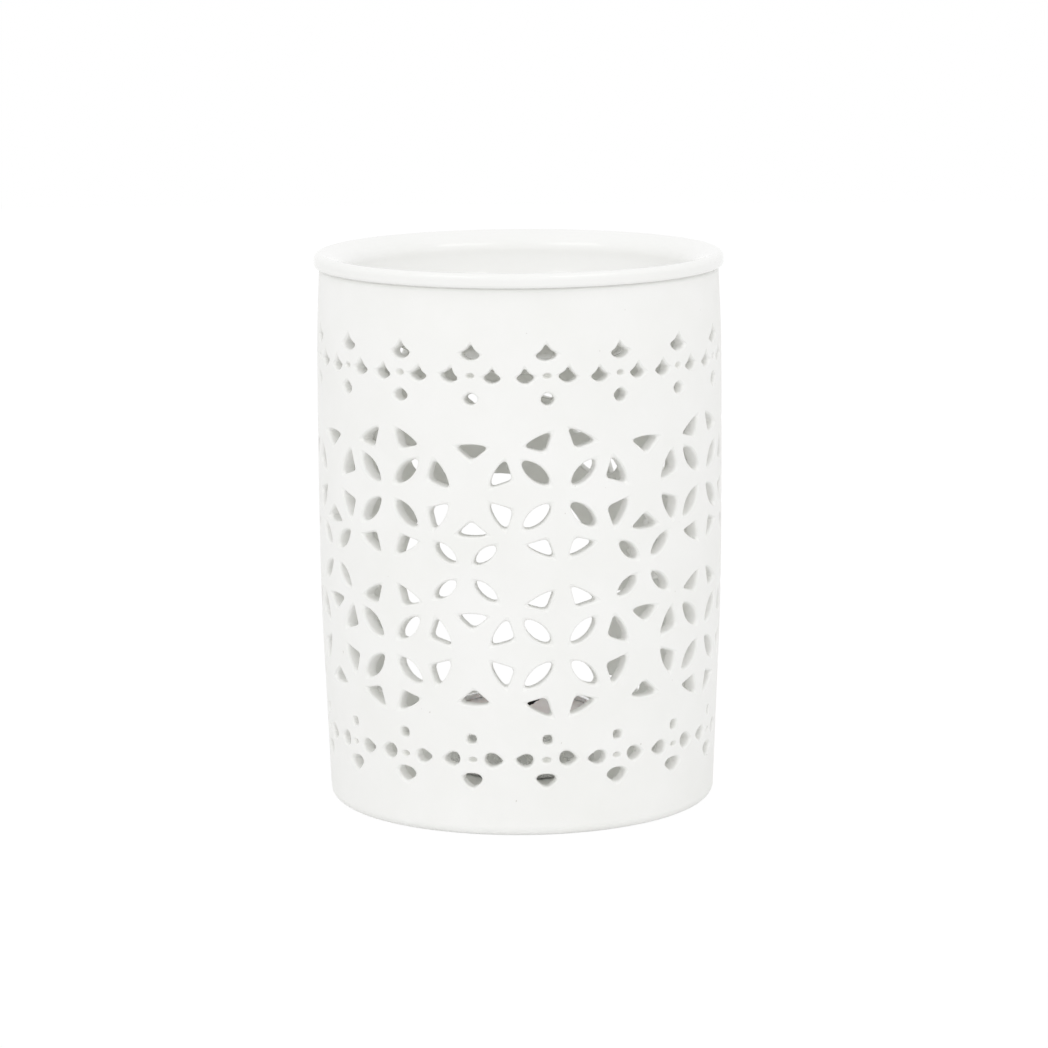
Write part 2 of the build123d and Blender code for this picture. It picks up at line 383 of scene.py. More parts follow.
def pierce(corners, bows, angle, height, rng, flare=0):
    """A hole cut by hand: each a little off its place, with a throat drawn in unevenly.

    The outline is the rim's or, where a flare is given, the throat's, with the rim that much further out.
    """
    slip = (rng.gauss(0, hand_shift), rng.gauss(0, hand_shift))
    corners = turned(corners, radians(rng.gauss(0, hand_turn)), 1 + rng.gauss(0, hand_growth), slip)
    steps = [max(3, ceil(length / outline_step)) for length, place in side_list(corners, bows)]
    count = len(corners)
    if flare:
        pulls = [rng.uniform(*pull_range) for corner in corners]
        pulled = [(x * pull, z * pull) for (x, z), pull in zip(corners, pulls)]
        pulled = turned(pulled, radians(rng.gauss(0, throat_turn)), 1, (0, 0))
        throat = rounded_outline(pulled, bows, throat_cut, flared_cut_share, steps)
        side_flares = [-flare * rng.uniform(*side_range) for k in range(count)]
        tip_flares = [tip_flare_share * size for size in side_flares]
        outer, outer_bows = inset_corners(pulled, bows, tip_flares, side_flares)
        rim = rounded_outline(outer, outer_bows, rim_cut, cut_share, steps)
    else:
        corner_insets = [throat_inset * rng.uniform(*corner_range) for k in range(count)]
        side_insets = [throat_inset * rng.uniform(*side_range) for k in range(count)]
        inner, inner_bows = inset_corners(corners, bows, corner_insets, side_insets)
        rim = rounded_outline(corners, bows, rim_cut, cut_share, steps)
        throat = rounded_outline(inner, inner_bows, throat_cut, cut_share, steps)
    return Hole(rim, throat, angle, height)


def placed(shares, half, side, rise):
    """An outline of corner shares at its real size, in one quarter of its motif."""
    corners = [(side * x * half[0], rise * y * half[1]) for x, y, bow in shares]
    return counterclockwise(corners, [side * rise * bow * half[0] for x, y, bow in shares])


def motif_holes(shares, half, signs, angles, height, rng, flare=0, drops=None):
    """Copies of one outline in each wanted quarter of a motif, at each angle and below its row by a drop."""
    holes = []
    for side, rise in signs:
        corners, bows = placed(shares, half, side, rise)
        middle = sum(x for x, y in corners) / len(corners)
        centred = [(x - middle, y) for x, y in corners]
        for k, angle in enumerate(angles):
            turn = radians(angle) + middle / mean_radius
            level = height - (drops[k] if drops else 0)
            if clear_of_arch(centred, turn, level):
                holes.append(pierce(centred, bows, turn, level, rng, flare))
    return holes


def lattice_holes():
    """All holes of the two rows of motifs and the two bands."""
    rng = random.Random(11)
    quarters = [(1, 1), (-1, 1), (-1, -1), (1, -1)]
    pitch = 360 / lattice_count
    even = [lattice_angle + turn * pitch for turn in range(lattice_count)]
    motif_angles = [angle + slip for angle, slip in zip(even, motif_slips)]
    cusp_angles = [angle + pitch / 2 + slip for angle, slip in zip(even, cusp_slips)]
    sprig_angles = [angle + pitch / 2 + slip for angle, slip in zip(even, sprig_slips)]
    holes = []
    for height, outer, drops in zip(row_heights, (-1, 1), motif_drops):
        for shares in (petal, crown, flank):
            holes += motif_holes(shares, motif_half, quarters, motif_angles, height, rng, drops=drops)
        for rise, upward in ((outer * cusp_outer_rise, outer), (-outer * cusp_inner_rise, -outer)):
            holes += motif_holes(
                cusp, cusp_half, [(1, upward)], cusp_angles, height + rise, rng, drops=drops,
            )
    holes += motif_holes(sprig, sprig_half, quarters, sprig_angles, sprig_height, rng)
    side_turn = degrees(diamond_side_step / mean_radius)
    for band_angle, height, rise, throats in zip(band_angles, band_heights, diamond_rises, diamond_throats):
        angles = [band_angle + turn * 360 / band_count for turn in range(band_count)]
        holes += motif_holes(throats[0], diamond_half, [(1, 1)], angles, height + rise, rng, diamond_flare)
        for side in (-1, 1):
            beside = [angle + side * side_turn for angle in angles]
            holes += motif_holes(throats[1], diamond_half, [(side, 1)], beside, height, rng, diamond_flare)
        holes += motif_holes(throats[2], diamond_half, [(1, 1)], angles, height - rise, rng, diamond_flare)
    return holes


def arch_outline(inset):
    """The rear arch: a flat sill with rounded corners under a round head."""
    half = arch_half_width - inset
    sill = arch_sill + inset
    low = arch_sill + arch_corner
    corner = arch_corner - inset
    points = []
    for k in range(arch_head_steps + 1):
        turn = pi * k / arch_head_steps
        points.append((half * cos(turn), arch_spring + half * sin(turn)))
    sides = [k / arch_side_steps for k in range(1, arch_side_steps)]
    points += [(-half, arch_spring + (low - arch_spring) * share) for share in sides]
    turns = [pi / 2 * k / arch_corner_steps for k in range(arch_corner_steps + 1)]
    points += [(-half + corner + corner * cos(pi + turn), low + corner * sin(pi + turn)) for turn in turns]
    flat = half - corner
    points += [(-flat + 2 * flat * k / arch_sill_steps, sill) for k in range(1, arch_sill_steps)]
    points += [(flat + corner * cos(turn - pi / 2), low + corner * sin(turn - pi / 2)) for turn in turns]
    points += [(half, low + (arch_spring - low) * share) for share in sides]
    return points


def dimple_holes():
    """Blind dimples in the middle of each group of four, as holes whose throat is a point."""
    rng = random.Random(23)
    holes = []
    for band_angle, height in zip(band_angles, band_heights):
        for turn in range(band_count):
            angle = radians(band_angle + turn * 360 / band_count)
            if clear_of_arch([(-dimple_half[0], 0), (dimple_half[0], 0)], angle, height):
                half = [size * rng.uniform(*dimple_range) for size in dimple_half]
                slip = rng.gauss(0, hand_shift)
                spokes = [2 * pi * k / dimple_spokes for k in range(dimple_spokes)]
                rim = [(slip + half[0] * cos(spoke), half[1] * sin(spoke)) for spoke in spokes]
                holes.append(Hole(rim, [(slip, 0)] * len(rim), angle, height))
    return holes


class MeshMaker:
    """Collects points with their normals, and faces with their materials."""

    def __init__(self):
        self.points = []
        self.normals = []
        self.faces = []
        self.materials = []

    def point(self, place, normal):
        self.points.append(place)
        self.normals.append(normal.normalized())
        return len(self.points) - 1

    def face(self, corners, material=0):
        """A face, with a corner that is given twice, as at a pole, taken once."""
        single = tuple(dict.fromkeys(corners))
        if len(single) > 2:
            self.faces.append(single)
            self.materials.append(material)

    def bridge(self, low, high, material=0):
        """Quads between two closed rings of the same length."""
        count = len(low)
        for i in range(count):
            j = (i + 1) % count
            self.face((low[i], low[j], high[j], high[i]), material)

    def funnel(self, first, places, last):
        """Rings of new points between two made ones, each ring further into a hole than the one before.

        The rings run counterclockwise seen from the first one, and their normals come from their shape.
        """
        grid = [[self.points[i] for i in first]] + places + [[self.points[i] for i in last]]
        count = len(first)
        rows = [first]
        for r in range(1, len(grid) - 1):
            row = []
            for i in range(count):
                round_way = grid[r][(i + 1) % count] - grid[r][i - 1]
                in_way = grid[r + 1][i] - grid[r - 1][i]
                row.append(self.point(grid[r][i], round_way.cross(in_way)))
            rows.append(row)
        rows.append(last)
        for above, below in zip(rows, rows[1:]):
            self.bridge(above, below)

    def build(self, name, materials):
        mesh = bpy.data.meshes.new(name)
        mesh.from_pydata([tuple(p) for p in self.points], [], self.faces)
        mesh.polygons.foreach_set("material_index", self.materials)
        mesh.polygons.foreach_set("use_smooth", [True] * len(self.faces))
        for material in materials:
            mesh.materials.append(material)
        mesh.update()
        mesh.normals_split_custom_set_from_vertices([tuple(n) for n in self.normals])
        piece = bpy.data.objects.new(name, mesh)
        bpy.context.scene.collection.objects.link(piece)
        return piece


def inside(polygon, x, y):
    """True if a point is within a closed outline."""
    found = False
    for (x1, y1), (x2, y2) in zip(polygon, polygon[1:] + polygon[:1]):
        if (y1 > y) != (y2 > y) and x < x1 + (y - y1) * (x2 - x1) / (y2 - y1):
            found = not found
    return found


def seam_angle(height):
    return radians(straight([(z, angle) for angle, z in seam], height))


def wall_plan(holes, dimples, low, high):
    """The unrolled wall between two heights, cut into triangles round the holes.

    Gives flat points, each hole's ring of point numbers, the rings of points at the two ends,
    pairs of points that the seam joins, and the triangles in the wall and in the dimples.
    """
    flat = []
    edges = []
    rings = []
    for hole in holes + dimples:
        rings.append(list(range(len(flat), len(flat) + len(hole.rim))))
        flat += [hole.flat_place(i) for i in range(len(hole.rim))]
    full_turn = 2 * pi * mean_radius
    for ring in rings:
        middle_u = sum(flat[i][0] for i in ring) / len(ring)
        middle_z = sum(flat[i][1] for i in ring) / len(ring)
        shift = ceil((seam_angle(middle_z) * mean_radius - middle_u) / full_turn) * full_turn
        for i in ring:
            flat[i] = (flat[i][0] + shift, flat[i][1])
        edges += [(i, j) for i, j in zip(ring, ring[1:] + ring[:1])]

    side_steps = ceil((high - low) / surface_step)
    left = []
    right = []
    for k in range(side_steps + 1):
        z = low + (high - low) * k / side_steps
        u = seam_angle(z) * mean_radius
        left.append(len(flat))
        flat.append((u, z))
        right.append(len(flat))
        flat.append((u + full_turn, z))
    ends = []
    for z, chain in ((low, (left[0], right[0])), (high, (left[-1], right[-1]))):
        middle = []
        for k in range(1, around_count):
            middle.append(len(flat))
            flat.append((flat[chain[0]][0] + full_turn * k / around_count, z))
        ends.append([chain[0]] + middle)
        edges += list(zip([chain[0]] + middle, middle + [chain[1]]))
    for chain in (left, right):
        edges += list(zip(chain, chain[1:]))

    cell = surface_step
    near = {}
    for i, (u, z) in enumerate(flat):
        near.setdefault((int(u // cell), int(z // cell)), []).append((u, z))
    outlines = [[flat[i] for i in ring] for ring in rings]
    boxes = [(min(u for u, z in o), max(u for u, z in o), min(z for u, z in o), max(z for u, z in o))
             for o in outlines]
    keep_away = keep_away_share * surface_step
    rows = ceil((high - low) / (surface_step * row_share))
    for row in range(1, rows):
        z = low + (high - low) * row / rows
        start = seam_angle(z) * mean_radius
        columns = ceil(full_turn / surface_step)
        for column in range(columns):
            u = start + full_turn * (column + 0.5 * (row % 2) + 0.25) / columns
            if u - start < keep_away or start + full_turn - u < keep_away:
                continue
            key = (int(u // cell), int(z // cell))
            close = any(
                hypot(u - a, z - b) < keep_away
                for i in (-1, 0, 1) for j in (-1, 0, 1)
                for a, b in near.get((key[0] + i, key[1] + j), ())
            ) or any(hypot(u - a, z - b) < bare_margin for a, b in outlines[len(holes) - 1])
            if close or any(
                box[0] < u < box[1] and box[2] < z < box[3] and inside(outline, u, z)
                for box, outline in zip(boxes, outlines)
            ):
                continue
            flat.append((u, z))

    whole = [left[0]] + ends[0][1:] + right + ends[1][:0:-1] + left[:0:-1]
    places = [Vector((u / mean_radius, z / mean_radius)) for u, z in flat]
    made = delaunay_2d_cdt(places, edges, rings + [whole], 0, 1e-7)
    numbers = [origins[0] for origins in made[3]]
    wall_faces = []
    dimple_faces = []
    for face, owners in zip(made[2], made[5]):
        corners = [numbers[i] for i in face]
        if list(owners) == [len(rings)]:
            wall_faces.append(corners)
        elif len(owners) == 2 and min(owners) >= len(holes):
            dimple_faces.append(corners)
    return flat, rings, ends, list(zip(left, right)), wall_faces, dimple_faces


def revolve_ring(maker, angles, radius, height, normal_out, normal_up):
    """A ring of points round the axis, with the outward and upward parts of its normal."""
    lift = Vector((0, 0, height))
    up = Vector((0, 0, normal_up))
    return [maker.point(outward(a) * radius + lift, outward(a) * normal_out + up) for a in angles]


def revolve_path(maker, last, path, angles, material, turn_over=False):
    """Rings at places given as radius, height and normal, each joined to the one before. Gives the last."""
    for place in path:
        row = revolve_ring(maker, angles, *place)
        first, second = (row, last) if turn_over else (last, row)
        maker.bridge(first, second, material)
        last = row
    return last


def close_ring(maker, ring, height, up, material):
    """A fan of triangles from a ring to the axis, that faces up or down."""
    centre = maker.point(Vector((0, 0, height)), Vector((0, 0, up)))
    for a, b in zip(ring, ring[1:] + ring[:1]):
        maker.face((centre, a, b) if up > 0 else (centre, b, a), material)


def rounded(centre_radius, centre_height, radius, start, end, steps):
    """Points of a round corner as radius, height and normal, between two directions in degrees."""
    made = []
    for k in range(steps + 1):
        turn = radians(start + (end - start) * k / steps)
        out, up = cos(turn), sin(turn)
        made.append((centre_radius + radius * out, centre_height + radius * up, out, up))
    return made


def make_body(bisque, bisque_inside_painted_light):
    maker = MeshMaker()
    low = foot_rounding
    high = body_height - mouth_rounding
    arch = Hole(arch_outline(0), arch_outline(arch_inset), radians(arch_angle), 0)
    holes = lattice_holes() + [arch]
    dimples = dimple_holes()
    flat, rings, ends, joined, wall_faces, dimple_faces = wall_plan(holes, dimples, low, high)
    merged = {right: left for left, right in joined}

    inner_low = floor_top + floor_cove

    def inner_height(z):
        """The height on the inner face, which starts above the floor, for one on the outer face."""
        if z >= floor_blend_top:
            return z
        return inner_low + (z - low) * (floor_blend_top - inner_low) / (floor_blend_top - low)

    owners = {i: (n, k) for n, ring in enumerate(rings) for k, i in enumerate(ring)}
    outer = []
    inner = []
    for i, (u, z) in enumerate(flat):
        if i in merged:
            outer.append(outer[merged[i]])
            inner.append(inner[merged[i]])
            continue
        angle = u / mean_radius
        out = outward(angle)
        place = out * wall_radius(z) + Vector((0, 0, z))
        outer.append(maker.point(place, out - Vector((0, 0, wall_slope(z)))))
        if i in owners and owners[i][0] < len(holes):
            hole = holes[owners[i][0]]
            place = hole.back_place(owners[i][1], inner_softness, 0)
        else:
            height = inner_height(z)
            place = out * (wall_radius(height) - wall) + Vector((0, 0, height))
        back = Vector((place.x, place.y, 0)).normalized()
        inner.append(maker.point(place, -back + Vector((0, 0, wall_slope(place.z)))))

    # Inner faces take the second material, a lighter copy of the bisque: painted light in the shaded
    # chamber.
    for corners in wall_faces:
        maker.face([outer[i] for i in corners], 0)
        maker.face([inner[i] for i in reversed(corners)], 1)
    for corners in dimple_faces:
        maker.face([inner[i] for i in reversed(corners)], 1)

    for n, hole in enumerate(holes):
        numbers = range(len(hole.rim))
        places = []
        for share, depth_share in mouth_shares:
            places.append([hole.front_place(i, share, mouth_depth * depth_share) for i in numbers])
        for turn in inner_turns:
            growth = inner_softness * (1 - sin(radians(turn)))
            depth = inner_softness * (1 - cos(radians(turn)))
            places.append([hole.back_place(i, growth, depth) for i in numbers])
        maker.funnel([outer[i] for i in rings[n]], places, [inner[i] for i in rings[n]])

    for n, hole in enumerate(dimples):
        reach = wall_radius(hole.height) - dimple_depth
        bottom = wall_place(hole.angle, reach, hole.throat[0][0], hole.height)
        centre = [maker.point(bottom, outward(hole.angle))] * len(hole.rim)
        places = []
        for share, depth_share in dimple_shares:
            depth = dimple_depth * depth_share
            places.append([hole.front_place(i, share, depth) for i in range(len(hole.rim))])
        maker.funnel([outer[i] for i in rings[len(holes) + n]], places, centre)

    angles = [flat[i][0] / mean_radius for i in ends[0]]
    foot_radius = wall_radius(low)
    ring_inner = foot_radius - foot_ring_width
    path = rounded(foot_radius - foot_rounding, foot_rounding, foot_rounding, 0, -90, 8)[1:]
    path += rounded(ring_inner + foot_ring_edge, foot_ring_edge, foot_ring_edge, -90, -180, 3)
    path += [
        (ring_inner, foot_recess - foot_ring_edge, -1, 0),
        (ring_inner - foot_ring_edge, foot_recess, 0, -1),
    ]
    path += [(ring_inner * share, foot_recess, 0, -1) for share in (0.9, 0.7, 0.5, 0.3, 0.1)]
    last = revolve_path(maker, [outer[i] for i in ends[0]], path, angles, 0, turn_over=True)
    close_ring(maker, last, foot_recess, -1, 0)

    floor_edge = wall_radius(inner_low) - wall - floor_cove
    path = []
    for radius, height, normal_out, normal_up in rounded(floor_edge, inner_low, floor_cove, 0, -90, 6)[1:]:
        path.append((radius, height, -normal_out, -normal_up))
    path += [(floor_edge * share, floor_top, 0, 1) for share in (0.9, 0.75, 0.6, 0.45, 0.3, 0.15)]
    last = revolve_path(maker, [inner[i] for i in ends[0]], path, angles, 1)
    close_ring(maker, last, floor_top, 1, 1)

    angles = [flat[i][0] / mean_radius for i in ends[1]]
    top_radius = wall_radius(high)
    path = rounded(top_radius - mouth_rounding, high, mouth_rounding, 0, 90, 5)[1:]
    path += rounded(top_radius - wall + mouth_rounding, high, mouth_rounding, 90, 180, 5)[:-1]
    last = revolve_path(maker, [outer[i] for i in ends[1]], path, angles, 0)
    maker.bridge(last, [inner[i] for i in ends[1]], 0)
    piece = maker.build("pierced_body", [bisque, bisque_inside_painted_light])
    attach(piece, "burner")
    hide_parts("burner_body")


def lathe(maker, profile, count):
    """A turned form. The profile runs as radius and height with the material on its left."""
    angles = [2 * pi * i / count for i in range(count)]
    last = None
    for k, (radius, height) in enumerate(profile):
        before, after = profile[max(k - 1, 0)], profile[min(k + 1, len(profile) - 1)]
        run, rise = after[0] - before[0], after[1] - before[1]
        if radius < axis_reach:
            up = 1 if run < 0 else -1
            row = [maker.point(Vector((0, 0, height)), Vector((0, 0, up)))] * count
        else:
            row = revolve_ring(maker, angles, radius, height, rise, -run)
        if last:
            maker.bridge(last, row)
        last = row


def bezier(points, steps):
    """Points along a cubic curve, both ends among them."""
    made = []
    for k in range(steps + 1):
        t = k / steps
        weights = ((1 - t) ** 3, 3 * t * (1 - t) ** 2, 3 * t * t * (1 - t), t**3)
        made.append(tuple(sum(w * p[n] for w, p in zip(weights, points)) for n in (0, 1)))
    return made


def bowl_curve(radius, base, top):
    """From a bowl's lowest point to its upright side."""
    return [(0, base), (0.5 * radius, base), (radius, base + 0.47 * (top - base)), (radius, top)]


# Dish
dish_radius = dish_high.x
dish_top = dish_high.z
dish_base = dish_low.z
seat_height = body_height
bowl_radius = 46.1 * MM
dish_wall = 3.0 * MM
bowl_collar = 1.5 * MM
rim_rounding = 1.7 * MM
rim_under = 0.9 * MM
collar_cove = 0.7 * MM
lip_wall = 2.5 * MM
lip_drop = 2.0 * MM
lip_below = 3.0 * MM
lip_beside = 4.6 * MM
seat_inset = 1.0 * MM
dish_segments = 224


def make_dish(glaze):
    """A bowl with a collar that fits the mouth, a rolled rim and a lip that turns softly into the bowl."""
    maker = MeshMaker()
    outside = bezier(bowl_curve(bowl_radius, dish_base, seat_height - bowl_collar), 40)
    profile = outside + [(bowl_radius, seat_height - collar_cove)]
    for k in range(1, 5):
        turn = radians(90 * k / 4)
        profile.append((
            bowl_radius + collar_cove * (1 - cos(turn)),
            seat_height - collar_cove * (1 - sin(turn)),
        ))
    rim_centre = dish_radius - rim_rounding
    profile.append((rim_centre - seat_inset, seat_height))
    for k in range(10):
        turn = radians(-90 + 90 * k / 9)
        profile.append((
            dish_radius - rim_under * (1 - cos(turn)),
            seat_height + rim_under * (1 + sin(turn)),
        ))
    for k in range(10):
        turn = radians(90 * k / 9)
        profile.append((rim_centre + rim_rounding * cos(turn), dish_top - rim_rounding * (1 - sin(turn))))
    lip = Vector((bowl_radius - lip_wall, dish_top - lip_drop))
    brim = Vector((rim_centre, dish_top))
    below = lip - Vector((0, lip_below))
    beside = lip + (brim - lip).normalized() * lip_beside
    lip_turn = bezier([below, below.lerp(lip, 2 / 3), beside.lerp(lip, 2 / 3), beside], 14)
    inside_curve = bezier(bowl_curve(lip.x, dish_base + dish_wall, below.y), 48)
    profile += [tuple(place) for place in reversed(lip_turn)] + inside_curve[-2::-1]
    lathe(maker, profile, dish_segments)
    piece = maker.build("glazed_dish", [glaze])
    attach(piece, "dish")
    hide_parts("oil_dish")


# Tealight
cup_radius = 18.6 * MM
cup_wall = 0.35 * MM
cup_corner = 2.6 * MM
cup_bead = 0.5 * MM
cup_segments = 160
wax_lift = 0.6 * MM
wax_corner = 2.4 * MM
wax_surface_drop = 0.4 * MM
wax_segments = 128
melt_radius = 7.0 * MM
melt_depth = 0.8 * MM
wick_radius = 0.9 * MM
wick_stand = -0.6 * MM
wick_bend_radius = 2.4 * MM
wick_bend_angle = 56.0
wick_tip_length = 5.0 * MM
wick_depth = 3.0 * MM
wick_end_rise = 0.25 * MM
wick_round_count = 28
wick_steps = 44
strand_count = 3
braid_turns = 5.95
braid_swells = (0.09, 0.07)
braid_radius_share = 0.86
braid_roughness = 0.035
taper_start = 0.82
taper_size = 0.45


def make_cup(foil):
    """A drawn foil cup with a rolled rim."""
    maker = MeshMaker()
    base = cup_low.z
    rim = cup_high.z
    corner_centre = cup_radius - cup_corner
    profile = [(0, base + 0.5 * MM), (cup_radius * 0.45, base + 0.5 * MM)]
    profile += [(cup_radius * 0.62, base + 0.35 * MM), (cup_radius * 0.74, base + 0.02 * MM)]
    for k in range(9):
        turn = radians(-90 + 90 * k / 8)
        profile.append((corner_centre + cup_corner * cos(turn), base + cup_corner * (1 + sin(turn))))
    bead_height = rim - cup_bead
    side_top = bead_height - cup_bead
    side_low = base + cup_corner
    profile += [(cup_radius, side_low + (side_top - side_low) * k / 6) for k in range(1, 7)]
    for k in range(11):
        turn = radians(-70 + 250 * k / 10)
        profile.append((cup_radius + cup_bead * cos(turn), bead_height + cup_bead * sin(turn)))
    inner = cup_radius - cup_wall
    profile += [(inner, bead_height - 0.3 * MM), (inner, side_low)]
    corner = cup_corner - cup_wall
    for k in range(1, 7):
        turn = radians(-90 * k / 6)
        profile.append((inner - corner + corner * cos(turn), side_low + corner * sin(turn)))
    profile += [(cup_radius * 0.7, base + 0.5 * MM), (cup_radius * 0.55, base + 0.8 * MM)]
    profile.append((0, base + 0.85 * MM))
    lathe(maker, profile, cup_segments)
    piece = maker.build("foil_cup", [foil])
    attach(piece, "tealight")
    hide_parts("tealight_cup")


def make_wax(wax):
    """A cast cake of wax with a shallow melt hollow and a thin skin up the foil."""
    maker = MeshMaker()
    base = wax_low.z + wax_lift
    corner_base = base + 0.1 * MM
    top = wax_high.z
    edge = wax_high.x
    corner_centre = edge - wax_corner
    profile = [(0, base), (edge * 0.5, base), (corner_centre, corner_base)]
    for k in range(1, 7):
        turn = radians(-90 + 90 * k / 6)
        profile.append((corner_centre + wax_corner * cos(turn), corner_base + wax_corner * (1 + sin(turn))))
    profile += [(edge, base + (top - base) * share) for share in (0.4, 0.6, 0.8)]
    profile += [(edge, top), (edge - 0.15 * MM, top), (edge - 0.6 * MM, top - 0.25 * MM)]
    profile += [(edge - 1.4 * MM, top - 0.36 * MM), (edge - 3 * MM, top - wax_surface_drop)]
    for share in (1.6, 1.35, 1.15, 1.0, 0.85, 0.7, 0.55, 0.4, 0.25):
        dip = melt_depth * max(0, 1 - share**2 / 1.4)
        profile.append((melt_radius * share, top - wax_surface_drop - 0.6 * dip))
    profile += [(wick_radius * 1.25, top - 0.75 * MM), (0, top - 0.75 * MM)]
    lathe(maker, profile, wax_segments)
    piece = maker.build("wax_cake", [wax])
    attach(piece, "tealight")
    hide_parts("tealight_wax")


def wick_place(distance, base, stem):
    """The centre of the wick and its direction, at a distance along it."""
    if distance <= stem:
        return Vector((0, 0, base + distance)), Vector((0, 0, 1))
    bend = radians(wick_bend_angle)
    arc = wick_bend_radius * bend
    centre = Vector((wick_bend_radius, 0, base + stem))
    swing = min(distance - stem, arc) / wick_bend_radius
    place = centre + wick_bend_radius * Vector((-cos(swing), 0, sin(swing)))
    heading = Vector((sin(swing), 0, cos(swing)))
    return place + max(0, distance - stem - arc) * heading, heading


def make_wick(char):
    """A braided cotton wick, charred above the wax and curled over at its tip."""
    maker = MeshMaker()
    rng = random.Random(7)
    low = wax_high.z - wick_depth
    stem = wax_high.z + wick_stand - low
    length = stem + wick_bend_radius * radians(wick_bend_angle) + wick_tip_length
    rows = []
    for k in range(wick_steps + 1):
        share = k / wick_steps
        centre, heading = wick_place(length * share, low, stem)
        side = Vector((0, 1, 0))
        other = heading.cross(side)
        taper = 1 - taper_size * max(0, (share - taper_start) / (1 - taper_start)) ** 2
        twist = 2 * pi * braid_turns * share
        row = []
        for i in range(wick_round_count):
            turn = 2 * pi * i / wick_round_count
            braid = braid_swells[0] * sin(strand_count * turn + twist)
            braid += braid_swells[1] * sin(strand_count * turn - twist)
            rough = rng.uniform(-braid_roughness, braid_roughness)
            radius = wick_radius * taper * (braid_radius_share + braid + rough)
            spoke = side * cos(turn) + other * sin(turn)
            row.append(maker.point(centre + spoke * radius, spoke))
        rows.append(row)
    for below, above in zip(rows, rows[1:]):
        maker.bridge(below, above)
    for row, distance, flip in ((rows[0], 0, 1), (rows[-1], length, -1)):
        centre, heading = wick_place(distance, low, stem)
        tip = maker.point(centre - flip * heading * wick_end_rise, -flip * heading)
        for pair in zip(row, row[1:] + row[:1]):
            maker.face((tip, *pair[::-1]) if flip > 0 else (tip, *pair))
    piece = maker.build("charred_wick", [char])
    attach(piece, "tealight")
    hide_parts("tealight_wick")


# Materials. Noise mostly keeps within this range.
noise_low, noise_high = 0.3, 0.7


def new_material(name):
    material = bpy.data.materials.new(name)
    material.use_nodes = True
    tree = material.node_tree
    return material, tree, tree.nodes["Principled BSDF"]


def fill(node, values):
    """Sets inputs of a node by their names."""
    for name, value in values.items():
        node.inputs[name].default_value = value


def noise(tree, scale, detail, rough=0.5):
    """Noise over the piece's own place in metres, at a number of features a metre."""
    place = tree.nodes.new("ShaderNodeTexCoord")
    texture = tree.nodes.new("ShaderNodeTexNoise")
    fill(texture, {"Scale": scale, "Detail": detail, "Roughness": rough})
    tree.links.new(place.outputs["Object"], texture.inputs["Vector"])
    return texture.outputs["Fac"]


def spread(tree, value, low, high, to_low, to_high):
    """A value stretched from one range to another, held at its ends."""
    node = tree.nodes.new("ShaderNodeMapRange")
    fill(node, {"From Min": low, "From Max": high, "To Min": to_low, "To Max": to_high})
    tree.links.new(value, node.inputs["Value"])
    return node.outputs["Result"]


def mix_colours(tree, share, first, second):
    node = tree.nodes.new("ShaderNodeMix")
    node.data_type = "RGBA"
    tree.links.new(share, node.inputs["Factor"])
    for name, value in (("A", first), ("B", second)):
        socket = next(s for s in node.inputs if s.name == name and s.type == "RGBA")
        if isinstance(value, tuple):
            socket.default_value = (*value, 1)
        else:
            tree.links.new(value, socket)
    return next(s for s in node.outputs if s.type == "RGBA")


def bump(tree, height, distance, strength, before=None):
    node = tree.nodes.new("ShaderNodeBump")
    fill(node, {"Distance": distance, "Strength": strength})
    tree.links.new(height, node.inputs["Height"])
    if before:
        tree.links.new(before, node.inputs["Normal"])
    return node.outputs["Normal"]


def colour_by_noise(tree, shader, scale, detail, first, second, low=noise_low, high=noise_high):
    """Gives the shader a colour that drifts between two."""
    share = spread(tree, noise(tree, scale, detail), low, high, 0, 1)
    tree.links.new(mix_colours(tree, share, first, second), shader.inputs["Base Color"])


def gloss_by_noise(tree, shader, scale, detail, smooth, rough):
    """Gives the shader a roughness that drifts between two."""
    value = spread(tree, noise(tree, scale, detail), noise_low, noise_high, smooth, rough)
    tree.links.new(value, shader.inputs["Roughness"])


def bisque_material(name, clean, stained, rough):
    """Unglazed white porcelain: a fine dry grain, a slow unevenness and rare specks."""
    material, tree, shader = new_material(name)
    patches = spread(tree, noise(tree, 55, 4), 0.35, 0.7, 0, 1)
    colour = mix_colours(tree, patches, clean, stained)
    specks = spread(tree, noise(tree, 900, 1, 0.4), 0.815, 0.835, 0, 0.5)
    colour = mix_colours(tree, specks, colour, (0.45, 0.42, 0.37))
    tree.links.new(colour, shader.inputs["Base Color"])
    grain = noise(tree, 2600, 3, 0.6)
    roughness = spread(tree, grain, noise_low, noise_high, rough - 0.06, rough + 0.06)
    tree.links.new(roughness, shader.inputs["Roughness"])
    slow = bump(tree, noise(tree, 70, 2), 0.25 * MM, 0.35)
    tree.links.new(bump(tree, grain, 0.03 * MM, 0.5, slow), shader.inputs["Normal"])
    fill(shader, {"IOR": 1.5, "Specular IOR Level": 0.3})
    return material


def glaze_material():
    """Clear gloss glaze over the same white body, with a faint orange peel."""
    material, tree, shader = new_material("clear_glaze")
    colour_by_noise(tree, shader, 40, 3, (0.885, 0.885, 0.872), (0.87, 0.871, 0.854), low=0.35)
    gloss_by_noise(tree, shader, 260, 3, 0.06, 0.12)
    slow = bump(tree, noise(tree, 60, 2), 0.2 * MM, 0.25)
    tree.links.new(bump(tree, noise(tree, 420, 2), 0.02 * MM, 0.4, slow), shader.inputs["Normal"])
    fill(shader, {"IOR": 1.52})
    return material


